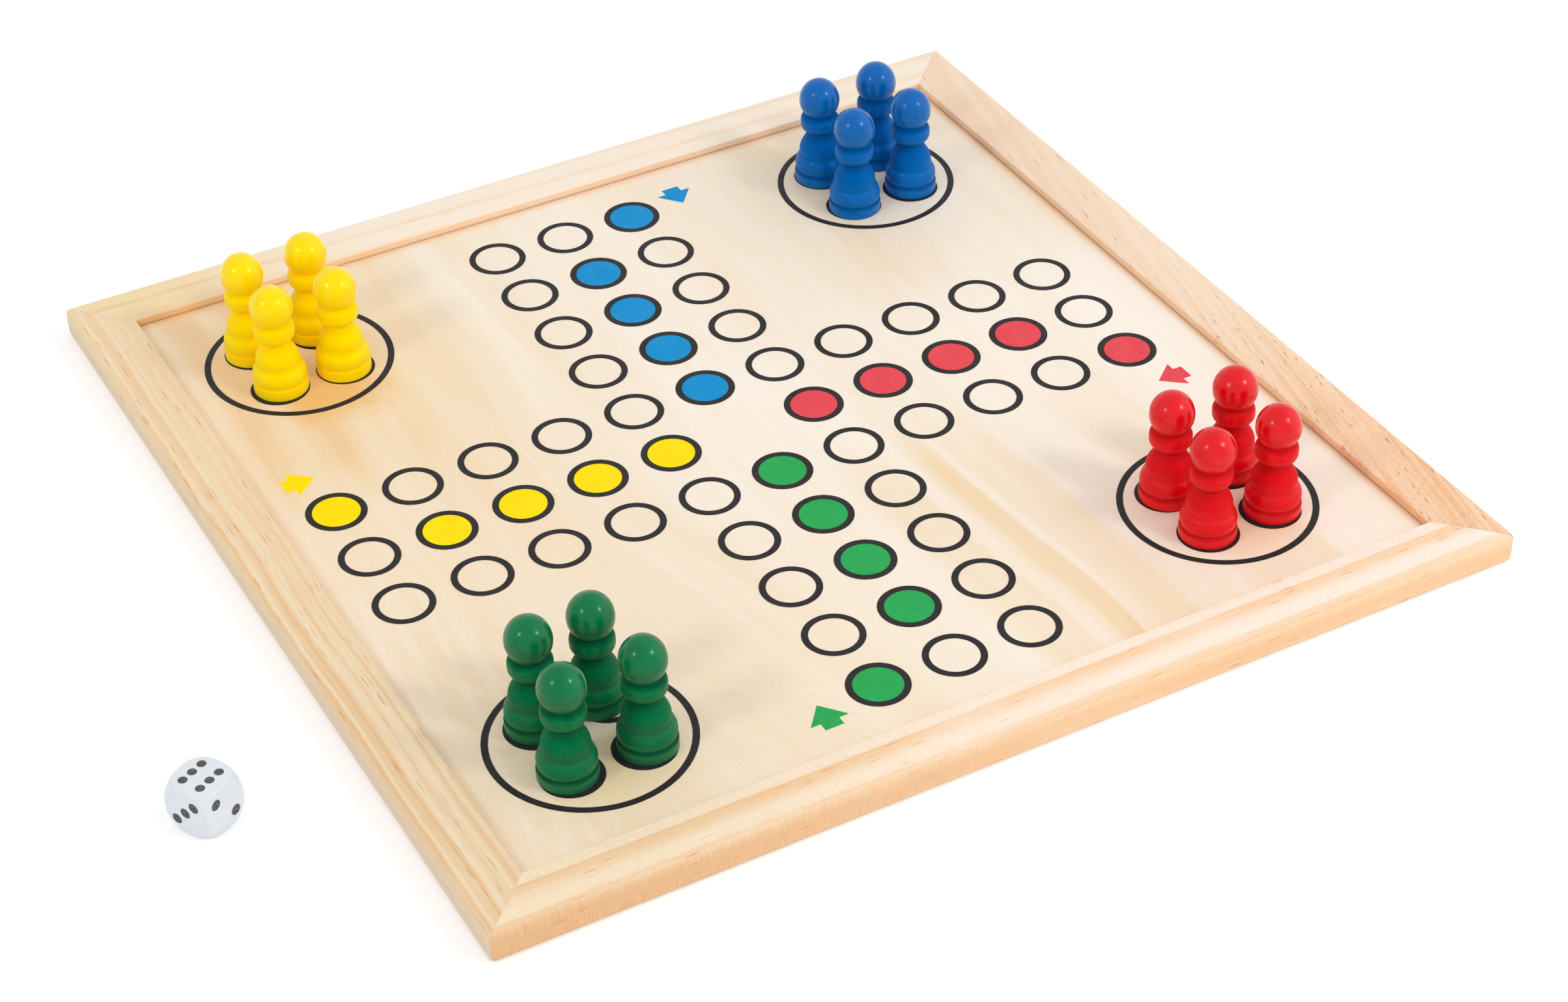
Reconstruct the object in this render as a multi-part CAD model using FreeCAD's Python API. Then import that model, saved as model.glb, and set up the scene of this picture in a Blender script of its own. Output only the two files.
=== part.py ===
import FreeCAD, Part
import math
import os
from FreeCAD import Vector

# A framed wooden ludo board with sixteen turned pawns and one die, in millimetres.
# Origin: centre of the board, in the plane that it stands on. +X runs along the front rail,
# +Y from the front rail to the back rail, +Z up.

# Frame moulding
board_side = 300.0
rail_width = 16.4
rail_height = 8.6
top_crown = 0.25
outer_arris = 1.2
lip_arris = 0.5
corner_round = 1.5
groove_depth = 5.0
groove_headroom = 0.1

# Plywood panel in the groove
panel_thick = 3.2
panel_edge_gap = 0.4

# Turned pawns: the batches of the four colours differ a little in height
green_pawn_height = 34.7
red_pawn_height = 33.8
blue_pawn_height = 34.3
yellow_pawn_height = 33.8
pawn_radius = 7.9
head_curve_spans = 9

# Radius share and height share of each point of the pawn's outline, from the foot up
foot_round_share = 0.006
band_share = (1.0, 0.082)
band_shoulder_share = (0.985, 0.094)
groove_share = (0.925, 0.103)
bulge_share = (0.980, 0.160)
step_share = (0.850, 0.242)
waist_share = (0.800, 0.272)
dome_share = (0.776, 0.342)
dome_top_share = (0.620, 0.411)
neck_share = (0.476, 0.482)
collar_foot_share = (0.520, 0.500)
collar_low_share = (0.700, 0.531)
collar_side_share = (0.745, 0.570)
collar_shoulder_share = (0.745, 0.598)
collar_rim_share = (0.712, 0.634)
collar_top_share = (0.580, 0.662)
head_centre_share = 0.805
head_radius_share = 0.785
head_rise_share = 1.0 - head_centre_share

# Screen print: line and ring sizes, and the clear places between them
ink_thick = 0.08
print_line = 1.85
ring_show = 0.6
pawn_gap = 4.4
seat_gap = 2.75
print_margin = 11.35
arrow_gap = 3.45
arrow_width = 11.0
arrow_stem_width = 5.35
arrow_head_length = 6.7
arrow_stem_length = 2.65
fields_from_centre = 5
lanes_each_side = 1

# How the print lies in the frame: a little towards the front left, and turned
print_shift_x = -3.2
print_shift_y = -1.0
print_turn_deg = 0.27

# How far each pawn stands from the middle of its seat, as shares of the gap between pawns
placing_shares = {
    "green": ((-0.14, 0.18), (0.24, 0.07), (0.07, 0.24), (-0.6, 0.31)),
    "red": ((-0.01, 0.09), (0.18, 0.08), (0.02, -0.13), (0.23, 0.06)),
    "blue": ((-0.03, -0.2), (0.06, 0.07), (-0.09, -0.04), (-0.16, -0.11)),
    "yellow": ((0.14, 0.11), (-0.07, 0.0), (-0.06, 0.06), (-0.14, 0.22)),
}

# Die, its place beside the board and its spots
die_side = 14.0
die_gap = 29.7
die_along = 69.7
die_turn_deg = 28.0
die_ball_radius = 10.4
die_edge_round = 0.42
spot_radius = 1.29
spot_depth = 0.56
six_row_offset = 2.8
six_pitch = 3.47
spot_offset = 3.1
paint_thick = 0.08
paint_clearance = 0.02

# Worked out from the sizes above
half_board = board_side / 2
opening = board_side - 2 * rail_width
half_opening = opening / 2
panel_floor = (rail_height - panel_thick) / 2
panel_face = panel_floor + panel_thick
panel_side = opening + 2 * (groove_depth - panel_edge_gap)
ring_radius = pawn_radius + ring_show
ring_hole = ring_radius - print_line
field_pitch = (half_opening - print_margin - ring_radius) / fields_from_centre
print_reach = fields_from_centre * field_pitch + ring_radius
seat_offset = pawn_radius + pawn_gap / 2
home_radius = math.hypot(seat_offset, seat_offset) + ring_radius + seat_gap + print_line
home_centre = print_reach - home_radius
half_die = die_side / 2
arrow_axis = lanes_each_side * field_pitch + ring_radius + arrow_gap + arrow_width / 2
pawn_foot = panel_face + ink_thick

# Quarter turns of the pattern, counted from the green corner at the front left
COLOURS = ("green", "red", "blue", "yellow")
PAWN_HEIGHTS = (green_pawn_height, red_pawn_height, blue_pawn_height, yellow_pawn_height)
UP = Vector(0, 0, 1)


def line(a, b):
    """Straight edge between two points."""
    return Part.LineSegment(a, b).toShape()


def arc(a, b, c):
    """Round edge from a through b to c."""
    return Part.Arc(a, b, c).toShape()


def plate(points, low, thick):
    """Flat plate over a polygon of (x, y) points."""
    corners = [Vector(x, y, low) for x, y in points]
    outline = Part.makePolygon(corners + [corners[0]])
    return Part.Face(outline).extrude(UP * thick)


def quarter_turned(x, y, turns):
    """A point of the pattern after quarter turns about the pattern's centre."""
    for _ in range(turns):
        x, y = -y, x
    return x, y


def on_board(x, y):
    """A point of the pattern, in the board's own axes."""
    turn = math.radians(print_turn_deg)
    return (print_shift_x + x * math.cos(turn) - y * math.sin(turn),
            print_shift_y + x * math.sin(turn) + y * math.cos(turn))


def printed(shape):
    """Lay a shape drawn about the pattern's centre onto the panel."""
    shape.rotate(Vector(0, 0, 0), UP, print_turn_deg)
    shape.translate(Vector(print_shift_x, print_shift_y, panel_face))
    return shape


def write(name, shape):
    """Write one sub-part and say what it measures."""
    box = shape.BoundBox
    shape.exportStep(os.path.join("parts", name + ".step"))
    print("%-16s solids %3d  volume %10.1f  x %.2f..%.2f  y %.2f..%.2f  z %.2f..%.2f  valid %s" % (
        name, len(shape.Solids), shape.Volume, box.XMin, box.XMax, box.YMin, box.YMax,
        box.ZMin, box.ZMax, shape.isValid()))


# Rails


def moulding_section():
    """Section of the moulding in the YZ plane: outer side at -Y, grooved lip towards +Y."""
    outer = -half_board
    lip = -half_opening
    middle = (outer + lip) / 2
    shoulder = rail_height - top_crown
    bend = 1 - math.cos(math.radians(45))

    def p(y, z):
        return Vector(0, y, z)

    low_arris = (p(outer, outer_arris),
                 p(outer + outer_arris * bend, outer_arris * bend),
                 p(outer + outer_arris, 0))
    top_arris = (p(outer + outer_arris, shoulder),
                 p(outer + outer_arris * bend, shoulder - outer_arris * bend),
                 p(outer, shoulder - outer_arris))
    lip_top = (p(lip, shoulder - lip_arris),
               p(lip - lip_arris * bend, shoulder - lip_arris * bend),
               p(lip - lip_arris, shoulder))
    lip_foot = (p(lip - lip_arris, 0),
                p(lip - lip_arris * bend, lip_arris * bend),
                p(lip, lip_arris))
    groove_top = panel_face + groove_headroom
    edges = [
        arc(*low_arris),
        line(low_arris[2], lip_foot[0]),
        arc(*lip_foot),
        line(lip_foot[2], p(lip, panel_floor)),
        line(p(lip, panel_floor), p(lip - groove_depth, panel_floor)),
        line(p(lip - groove_depth, panel_floor), p(lip - groove_depth, groove_top)),
        line(p(lip - groove_depth, groove_top), p(lip, groove_top)),
        line(p(lip, groove_top), lip_top[0]),
        arc(*lip_top),
        arc(lip_top[2], p(middle, rail_height), top_arris[0]),
        arc(*top_arris),
        line(top_arris[2], low_arris[0]),
    ]
    return Part.Face(Part.Wire(edges))


def rounded_block():
    """The board's outline as a block with rounded upright corners, taller than the rails."""
    block = Part.makeBox(board_side, board_side, 2 * rail_height,
                         Vector(-half_board, -half_board, -rail_height / 2))
    upright = [edge for edge in block.Edges if edge.Vertexes[0].Z != edge.Vertexes[1].Z]
    return block.makeFillet(corner_round, upright)


def front_rail():
    """Front rail: the moulding cut to its two mitres and rounded at the board's corners."""
    bar = moulding_section().extrude(Vector(board_side, 0, 0))
    bar.translate(Vector(-half_board, 0, 0))
    mitres = [(0, 0), (-board_side, -board_side), (board_side, -board_side)]
    wedge = plate(mitres, -rail_height / 2, 2 * rail_height)
    return bar.common(wedge).common(rounded_block())


def build_rails():
    """Four equal rails, each a quarter turn from the last."""
    rail = front_rail()
    for turns, name in enumerate(("rail_front", "rail_right", "rail_back", "rail_left")):
        piece = rail.copy()
        piece.rotate(Vector(0, 0, 0), UP, 90 * turns)
        write(name, piece)


# Panel


def build_panel():
    """Plywood square, its edge in the rails' grooves."""
    write("panel", Part.makeBox(panel_side, panel_side, panel_thick,
                                Vector(-panel_side / 2, -panel_side / 2, panel_floor)))


# Print


def ink_ring(x, y, radius):
    """Printed ring with the line's width, drawn inwards from its outer radius."""
    outer = Part.makeCylinder(radius, ink_thick, Vector(x, y, 0))
    return outer.cut(Part.makeCylinder(radius - print_line, ink_thick, Vector(x, y, 0)))


def ink_disc(x, y):
    """Printed fill inside a field's ring."""
    return Part.makeCylinder(ring_hole, ink_thick, Vector(x, y, 0))


def ink_arrow(turns):
    """Starting arrow beside the first field, its tail level with the outermost rings."""
    tail = -print_reach
    barb = tail + arrow_stem_length
    tip = barb + arrow_head_length
    half_stem = arrow_stem_width / 2
    half_head = arrow_width / 2
    outline = [(-half_stem, tail), (half_stem, tail), (half_stem, barb), (half_head, barb),
               (0, tip), (-half_head, barb), (-half_stem, barb)]
    return plate([quarter_turned(x - arrow_axis, y, turns) for x, y in outline], 0, ink_thick)


def seat_places(turns):
    """Middles of the four seats in the home corner of that turn, in the pattern's axes."""
    places = []
    for side_x, side_y in ((-1, -1), (1, -1), (-1, 1), (1, 1)):
        corner_x, corner_y = quarter_turned(-home_centre, -home_centre, turns)
        places.append((corner_x + side_x * seat_offset, corner_y + side_y * seat_offset))
    return places


def build_print():
    """Black outlines, and one screen for each colour."""
    outlines = []
    reach = range(-fields_from_centre, fields_from_centre + 1)
    for i in reach:
        for j in reach:
            in_lane = abs(i) <= lanes_each_side or abs(j) <= lanes_each_side
            if in_lane and (i, j) != (0, 0):
                outlines.append(ink_ring(i * field_pitch, j * field_pitch, ring_radius))
    for turns, colour in enumerate(COLOURS):
        corner = quarter_turned(-home_centre, -home_centre, turns)
        outlines.append(ink_ring(corner[0], corner[1], home_radius))
        for seat in seat_places(turns):
            outlines.append(ink_ring(seat[0], seat[1], ring_radius))
        start = quarter_turned(-lanes_each_side * field_pitch, -fields_from_centre * field_pitch, turns)
        fills = [ink_disc(start[0], start[1])]
        for step in range(1, fields_from_centre):
            lane = quarter_turned(0, -step * field_pitch, turns)
            fills.append(ink_disc(lane[0], lane[1]))
        fills.append(ink_arrow(turns))
        write("print_" + colour, printed(Part.Compound(fills)))
    write("print_black", printed(Part.Compound(outlines)))


# Pawns


def lathe_point(share, height):
    """Point of the pawn's outline from its radius share and height share."""
    return Vector(share[0] * pawn_radius, 0, share[1] * height)


def head_curve(height):
    """Outline of the head: an upright oval, from the collar to the crown."""
    centre = head_centre_share * height
    wide = head_radius_share * pawn_radius
    high = head_rise_share * height
    start = -math.acos(collar_top_share[0] / head_radius_share)
    points = []
    for k in range(head_curve_spans + 1):
        angle = start + (math.pi / 2 - start) * k / head_curve_spans
        points.append(Vector(wide * math.cos(angle), 0, centre + high * math.sin(angle)))
    points[-1] = Vector(0, 0, height)
    curve = Part.BSplineCurve()
    curve.interpolate(points)
    return curve.toShape(), points[0]


def turned_pawn(height):
    """One pawn on its axis: foot band, groove, bulging body, neck, collar and head."""
    foot_round = foot_round_share * height
    bend = 1 - math.cos(math.radians(45))
    foot = (Vector(pawn_radius - foot_round, 0, 0),
            Vector(pawn_radius - foot_round * bend, 0, foot_round * bend),
            Vector(pawn_radius, 0, foot_round))
    head, head_start = head_curve(height)
    band, shoulder, groove, bulge, step, waist, dome, dome_top = [
        lathe_point(share, height) for share in (
            band_share, band_shoulder_share, groove_share, bulge_share, step_share, waist_share,
            dome_share, dome_top_share)]
    neck, collar_foot, collar_low, collar_side, collar_shoulder, collar_rim, collar_top = [
        lathe_point(share, height) for share in (
            neck_share, collar_foot_share, collar_low_share, collar_side_share,
            collar_shoulder_share, collar_rim_share, collar_top_share)]
    edges = [
        line(Vector(0, 0, 0), foot[0]),
        arc(*foot),
        line(foot[2], band),
        line(band, shoulder),
        line(shoulder, groove),
        arc(groove, bulge, step),
        line(step, waist),
        arc(waist, dome, dome_top),
        line(dome_top, neck),
        line(neck, collar_foot),
        arc(collar_foot, collar_low, collar_side),
        line(collar_side, collar_shoulder),
        arc(collar_shoulder, collar_rim, collar_top),
        line(collar_top, head_start),
        head,
        line(Vector(0, 0, height), Vector(0, 0, 0)),
    ]
    return Part.Face(Part.Wire(edges)).revolve(Vector(0, 0, 0), UP, 360)


def build_pawns():
    """Sixteen pawns, each on its seat, a little off its middle."""
    for turns, (colour, height) in enumerate(zip(COLOURS, PAWN_HEIGHTS)):
        pawn = turned_pawn(height)
        for number, (seat, share) in enumerate(zip(seat_places(turns), placing_shares[colour]), 1):
            x, y = on_board(seat[0] + share[0] * pawn_gap, seat[1] + share[1] * pawn_gap)
            piece = pawn.copy()
            piece.translate(Vector(x, y, pawn_foot))
            write("pawn_%s_%d" % (colour, number), piece)


# Die


def spot_places():
    """Middles of the spots on the die's six faces: outward normal, then place on the face."""
    along, across = Vector(1, 0, 0), Vector(0, 1, 0)
    corners = [(spot_offset * a, spot_offset * b) for a, b in ((-1, -1), (1, 1), (-1, 1), (1, -1))]
    six = [(k * six_pitch, side * six_row_offset) for k in (-1, 0, 1) for side in (-1, 1)]
    faces = [
        (UP, along, across, six),
        (-UP, along, across, [(0, 0)]),
        (-along, across, UP, [(0, 0)] + corners[2:]),
        (along, across, UP, corners),
        (-across, along, UP, corners[2:]),
        (across, along, UP, [(0, 0)] + corners),
    ]
    return [(normal, normal * half_die + first * a + second * b)
            for normal, first, second, places in faces for a, b in places]


def die_cube():
    """Plain cube about the die's middle."""
    return Part.makeBox(die_side, die_side, die_side, Vector(-half_die, -half_die, -half_die))


def build_die():
    """White die with round hollows, and the dark paint in them."""
    cube = die_cube()
    body = cube.makeFillet(die_edge_round, cube.Edges).common(Part.makeSphere(die_ball_radius))
    ball = (spot_radius ** 2 + spot_depth ** 2) / (2 * spot_depth)
    paint = []
    for normal, place in spot_places():
        centre = place + normal * (ball - spot_depth)
        body = body.cut(Part.makeSphere(ball, centre))
        skin = Part.makeSphere(ball - paint_clearance, centre)
        coat = skin.cut(Part.makeSphere(ball - paint_clearance - paint_thick, centre))
        paint.append(coat.common(die_cube()))
    place = Vector(-half_board - die_gap - math.hypot(half_die, half_die), -die_along, half_die)
    for name, shape in (("die", body), ("die_spots", Part.Compound(paint))):
        shape.rotate(Vector(0, 0, 0), UP, die_turn_deg)
        shape.translate(place)
        write(name, shape)


os.makedirs("parts", exist_ok=True)
build_rails()
build_panel()
build_print()
build_pawns()
build_die()
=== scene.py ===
"""A framed wooden ludo board with turned pawns and a die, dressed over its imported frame."""
from functools import partialmethod
import math
from types import SimpleNamespace

import bmesh
import bpy
from mathutils import Matrix, Vector


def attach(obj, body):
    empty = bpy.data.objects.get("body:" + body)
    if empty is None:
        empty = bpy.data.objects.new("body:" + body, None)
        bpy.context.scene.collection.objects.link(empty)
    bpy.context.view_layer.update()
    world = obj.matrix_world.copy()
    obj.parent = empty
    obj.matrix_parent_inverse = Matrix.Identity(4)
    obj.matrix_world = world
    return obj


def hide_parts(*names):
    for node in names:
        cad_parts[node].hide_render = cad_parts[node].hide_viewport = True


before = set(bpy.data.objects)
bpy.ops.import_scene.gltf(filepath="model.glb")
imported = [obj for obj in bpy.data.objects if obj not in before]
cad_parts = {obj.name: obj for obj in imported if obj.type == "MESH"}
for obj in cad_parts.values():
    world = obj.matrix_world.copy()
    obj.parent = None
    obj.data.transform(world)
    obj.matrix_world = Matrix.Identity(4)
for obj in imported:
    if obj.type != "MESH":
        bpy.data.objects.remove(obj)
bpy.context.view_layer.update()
scene = bpy.context.scene
MM = 0.001
weld_reach = 0.001 * MM
half_bend = 1 - math.sqrt(0.5)

# Frame moulding, in millimetres
board_side = 300.0
rail_width = 16.4
rail_height = 8.6
top_crown = 0.25
outer_arris = 1.2
lip_arris = 0.5
corner_round = 1.5
groove_depth = 5.0
groove_low = 2.7
groove_high = 6.0
arris_steps = 6
crown_steps = 16
rail_stations = 161
rail_wave = 0.06
mitre_vee = 0.07
mitre_gaps = ((0.0, 0.10), (0.14, 0.0), (0.03, 0.0), (0.0, 0.02))
band_reach = 27.0
half_board = board_side / 2
half_opening = half_board - rail_width

# Print on the panel
panel_face = 5.9
panel_ply = 1.07
face_skin = 0.05
line_thick = 0.08
fill_thick = 0.05
print_line = 1.85
ring_radius = 8.5
ring_sides = 110.0
fill_sides = 72
fill_overlap = 0.5
field_pitch = 22.75
print_reach = 122.25
seat_offset = 10.1
home_radius = 27.384
home_centre = print_reach - home_radius
arrow_axis = 40.2
arrow_width = 11.0
arrow_stem_width = 5.35
arrow_head_length = 6.7
arrow_stem_length = 2.65
arrow_step = 0.7
print_shift = (-3.2, -1.0)
print_turn = math.radians(0.27)
ragged_edge = 0.1
ragged_scale = 1100.0

# Turned pawns
pawn_foot = panel_face + line_thick
pawn_radius = 7.9
pawn_gap = 4.4
foot_round_share = 0.006
head_radius_share = 0.785
head_centre_share = 0.805
pawn_sides = 72
pawn_wobble = 0.09
COLOURS = ("green", "red", "blue", "yellow")
pawn_heights = dict(green=34.7, red=33.8, blue=34.3, yellow=33.8)
placing_shares = dict(
    green=((-0.14, 0.18), (0.24, 0.07), (0.07, 0.24), (-0.6, 0.31)),
    red=((-0.01, 0.09), (0.18, 0.08), (0.02, -0.13), (0.23, 0.06)),
    blue=((-0.03, -0.2), (0.06, 0.07), (-0.09, -0.04), (-0.16, -0.11)),
    yellow=((0.14, 0.11), (-0.07, 0.0), (-0.06, 0.06), (-0.14, 0.22)))

# Die
die_side = 14.0
die_centre = (-150.0 - 29.7 - math.hypot(7.0, 7.0), -69.7, 7.0)
die_turn = math.radians(28.0)
die_ball_radius = 10.0
die_edge_power = 28.0
die_blend_power = 30.0
die_divisions = 47
few_spots_share = 1.2
spot_radius = 1.29
spot_depth = 0.56
six_row_offset = 2.8
six_pitch = 3.47
spot_offset = 3.1
hollow_edge = 0.07
cap_sides = 32.0
cap_rings = 6.0
paint_gap = 0.02
paint_inset = 0.05

# Camera and light
camera_place = (-0.339562, -0.659421, 0.549801)
camera_right = (0.876269, -0.481414, -0.019835)
camera_down = (-0.307823, -0.527680, -0.791706)
camera_lens = 75.096
sensor_width = 36.0
lamp_distance = 1.5
floor_reach = 6000.0
floor_drop = 0.3
floor_tone = (245, 245, 245)
floor_glow = 0.22
fade_start = 600.0
fade_end = 1800.0
world_light = 0.78
white = (255, 255, 255)


# Node trees


def linear(red, green, blue):
    """Colour as it is seen, 0 to 255, as linear values with full alpha."""
    shares = [value / 255 for value in (red, green, blue)]
    return [s / 12.92 if s <= 0.04045 else ((s + 0.055) / 1.055) ** 2.4 for s in shares] + [1.0]


class Value:
    """One socket of a node tree. Arithmetic on it and its methods add nodes."""

    def __init__(self, graph, socket):
        self.graph = graph
        self.socket = socket

    def output(self, name):
        """Another output of the same node."""
        return Value(self.graph, self.socket.node.outputs[name])

    def parts(self):
        """x, y and z of this vector."""
        split = self.graph.node("SeparateXYZ", {0: self})
        return [split, split.output("Y"), split.output("Z")]

    def math(self, operation, *others):
        return self.graph.math(operation, self, *others)

    def __neg__(self):
        return self * -1.0

    def __rsub__(self, other):
        return self.graph.math("SUBTRACT", other, self)

    __add__ = __radd__ = partialmethod(math, "ADD")
    __sub__ = partialmethod(math, "SUBTRACT")
    __mul__ = partialmethod(math, "MULTIPLY")
    __truediv__ = partialmethod(math, "DIVIDE")
    __abs__ = partialmethod(math, "ABSOLUTE")
    root = partialmethod(math, "SQRT")
    at_least = partialmethod(math, "MAXIMUM")
    at_most = partialmethod(math, "MINIMUM")
    above = partialmethod(math, "GREATER_THAN")
    below = partialmethod(math, "LESS_THAN")

    def step(self, low, high):
        """0 where this is low, 1 where it is high, and smooth between them."""
        return self.graph.node("MapRange", {"Value": self, "From Min": low, "From Max": high},
                               interpolation_type="SMOOTHSTEP")

    def between(self, low, high):
        """Number that goes from low to high as this goes from 0 to 1."""
        return self.graph.node("Mix", {0: self, 2: low, 3: high}, data_type="FLOAT")

    def blend(self, under, over, kind="MIX"):
        """Colour over another where this is 1."""
        return self.graph.node("Mix", {0: self, 6: under, 7: over}, 2, data_type="RGBA",
                               blend_type=kind, clamp_factor=True)

    def ramp(self, stops, interpolation="LINEAR"):
        """This run through listed stops, each a place with a grey or a colour."""
        made = self.graph.node("ValToRGB", {0: self})
        ramp = made.socket.node.color_ramp
        ramp.interpolation = interpolation
        while len(ramp.elements) < len(stops):
            ramp.elements.new(1.0)
        for element, (place, colour) in zip(ramp.elements, stops):
            element.position = place
            element.color = linear(*colour) if isinstance(colour, tuple) else [colour] * 3 + [1.0]
        return made


class Graph:
    """A node tree that is written as expressions."""

    def __init__(self, tree):
        self.tree = tree

    def node(self, kind, sockets=None, out=0, family="ShaderNode", **settings):
        """Add a node. Its sockets take a link or a value, and colour sockets a seen colour."""
        made = self.tree.nodes.new(family + kind)
        for name, value in settings.items():
            setattr(made, name, value)
        for key, value in (sockets or {}).items():
            socket = made.inputs[key]
            if isinstance(value, Value):
                self.tree.links.new(value.socket, socket)
            else:
                socket.default_value = linear(*value) if socket.type == "RGBA" else value
        return Value(self, made.outputs[out])

    def sink(self, kind, value):
        """Node that ends the tree, with that value at its first socket."""
        self.tree.links.new(value.socket, self.tree.nodes.new(kind).inputs[0])

    def math(self, operation, *values):
        return self.node("Math", dict(enumerate(values)), operation=operation)

    def vector(self, x, y, z):
        return self.node("CombineXYZ", {0: x, 1: y, 2: z})

    def noise(self, x, y, z, detail=2.0, roughness=0.5):
        """Smooth noise at that place, from 0 to 1."""
        return self.node("TexNoise", {"Vector": self.vector(x, y, z), "Scale": 1.0,
                                      "Detail": detail, "Roughness": roughness})


class Paint(Graph):
    """A material's node tree."""

    def __init__(self, name):
        self.material = bpy.data.materials.new(name)
        self.material.use_nodes = True
        super().__init__(self.material.node_tree)
        self.tree.nodes.clear()

    def place(self):
        """Place on the object in millimetres: x, y and z."""
        return [part * 1000.0 for part in self.node("TexCoord", out="Object").parts()]

    def finish(self, colour, roughness, relief, depth, strength, level, **sockets):
        """Surface of that colour, roughness and shine, with a relief of that depth in mm."""
        bump = self.node("Bump", {"Height": relief, "Distance": depth * MM, "Strength": strength})
        values = {"Base Color": colour, "Roughness": roughness, "Normal": bump,
                  "Specular IOR Level": level}
        values.update({name.replace("_", " "): value for name, value in sockets.items()})
        self.sink("ShaderNodeOutputMaterial", self.node("BsdfPrincipled", values))
        return self.material


class Former(Graph):
    """A geometry node tree with inputs of named kinds, ending in real geometry."""

    def __init__(self, name, **inputs):
        tree = bpy.data.node_groups.new(name, "GeometryNodeTree")
        super().__init__(tree)
        self.keys = {}
        for kind, labels in dict(inputs, Material="Material").items():
            for label in labels.split():
                socket = tree.interface.new_socket(label, socket_type="NodeSocket" + kind)
                self.keys[label] = socket.identifier
        tree.interface.new_socket("Geometry", in_out="OUTPUT", socket_type="NodeSocketGeometry")
        self.source = tree.nodes.new("NodeGroupInput")

    def __getitem__(self, label):
        """One of the tree's named inputs."""
        return Value(self, self.source.outputs[label])

    def geo(self, kind, sockets=None, out=0, **settings):
        """Add a node of the geometry family."""
        return self.node(kind, sockets, out, "GeometryNode", **settings)

    def points_of(self, label):
        """Geometry of an object input."""
        return self.geo("ObjectInfo", {"Object": self[label]}, "Geometry")

    def named(self, label, kind):
        """Attribute of that name on the points."""
        return self.geo("InputNamedAttribute", {"Name": label}, data_type=kind)

    def where(self):
        """Place of each point: x, y and z."""
        return self.geo("InputPosition").parts()

    def sheet(self, columns, rows):
        """Flat grid to be rolled up, one column wider than the round shape has sides."""
        return self.geo("MeshGrid", {"Size X": 1.0, "Size Y": 1.0, "Vertices X": columns + 1.0,
                                     "Vertices Y": rows})

    def rolled(self, columns, rows, reach, z=0.0):
        """Sheet rolled up, with the distance from the axis and the height of its points."""
        angle = (self.where()[0] + 0.5) * (2 * math.pi)
        places = self.vector(reach * angle.math("COSINE"), reach * angle.math("SINE"), z)
        return self.welded(self.moved(self.sheet(columns, rows), Position=places))

    def moved(self, geometry, **change):
        return self.geo("SetPosition", dict(change, Geometry=geometry))

    def turned(self, geometry, **change):
        return self.geo("Transform", dict(change, Geometry=geometry))

    def welded(self, geometry):
        """Points that lie on each other made one."""
        return self.geo("MergeByDistance", {"Geometry": geometry, "Distance": weld_reach})

    def copies(self, places, shape, **change):
        """The shape at each point of an object input."""
        change.update(Points=self.points_of(places), Instance=shape)
        return self.geo("InstanceOnPoints", change)

    def join(self, *parts):
        made = self.tree.nodes.new("GeometryNodeJoinGeometry")
        for part in parts:
            self.tree.links.new(part.socket, made.inputs[0])
        return Value(self, made.outputs[0])

    def thick(self, flat, thickness):
        """Closed plate over a flat face."""
        rise = {"Mesh": flat, "Offset": (0.0, 0.0, 1.0), "Offset Scale": thickness,
                "Individual": False}
        top = self.geo("ExtrudeMesh", rise, mode="FACES")
        base = self.geo("FlipFaces", {"Mesh": flat})
        return self.welded(self.join(top, base))

    def end(self, geometry):
        """Realize what is left of instances, set the material and give the result out."""
        real = self.geo("RealizeInstances", {0: geometry})
        done = self.geo("SetMaterial", {0: real, "Material": self["Material"]})
        self.sink("NodeGroupOutput", done)

    def form(self, name, **values):
        """Plain mesh object that the tree makes with these inputs."""
        piece = mesh_object(name, bpy.data.meshes.new(name))
        modifier = piece.modifiers.new("form", "NODES")
        modifier.node_group = self.tree
        for label, value in values.items():
            modifier[self.keys[label]] = value
        mesh = as_built(piece)
        piece.modifiers.remove(modifier)
        piece.data = mesh
        return piece


# Small helpers


def mesh_object(name, mesh):
    """Object for a mesh, in the scene."""
    made = bpy.data.objects.new(name, mesh)
    scene.collection.objects.link(made)
    return made


def as_built(piece):
    """Mesh of an object with its modifiers carried out."""
    ready = piece.evaluated_get(bpy.context.evaluated_depsgraph_get())
    return bpy.data.meshes.new_from_object(ready)


def helper(name, points, faces=()):
    """Object of bare points or faces, in millimetres."""
    mesh = bpy.data.meshes.new(name)
    mesh.from_pydata([tuple(value * MM for value in point) for point in points], [], list(faces))
    return mesh_object(name, mesh)


def poured(name, shape):
    """Object of a shape built in memory, which is let go."""
    mesh = bpy.data.meshes.new(name)
    shape.to_mesh(mesh)
    shape.free()
    return mesh_object(name, mesh)


def drop(*objects):
    for thing in objects:
        bpy.data.objects.remove(thing)


def smooth(mesh, angle):
    """Smooth shading, with edges kept sharp above that angle."""
    mesh.shade_smooth()
    mesh.set_sharp_from_angle(angle=math.radians(angle))


def settle(piece, body, slot, *nodes):
    """Put a finished piece on its body, in place of its CAD nodes."""
    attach(piece, body)
    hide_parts(*nodes)


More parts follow.
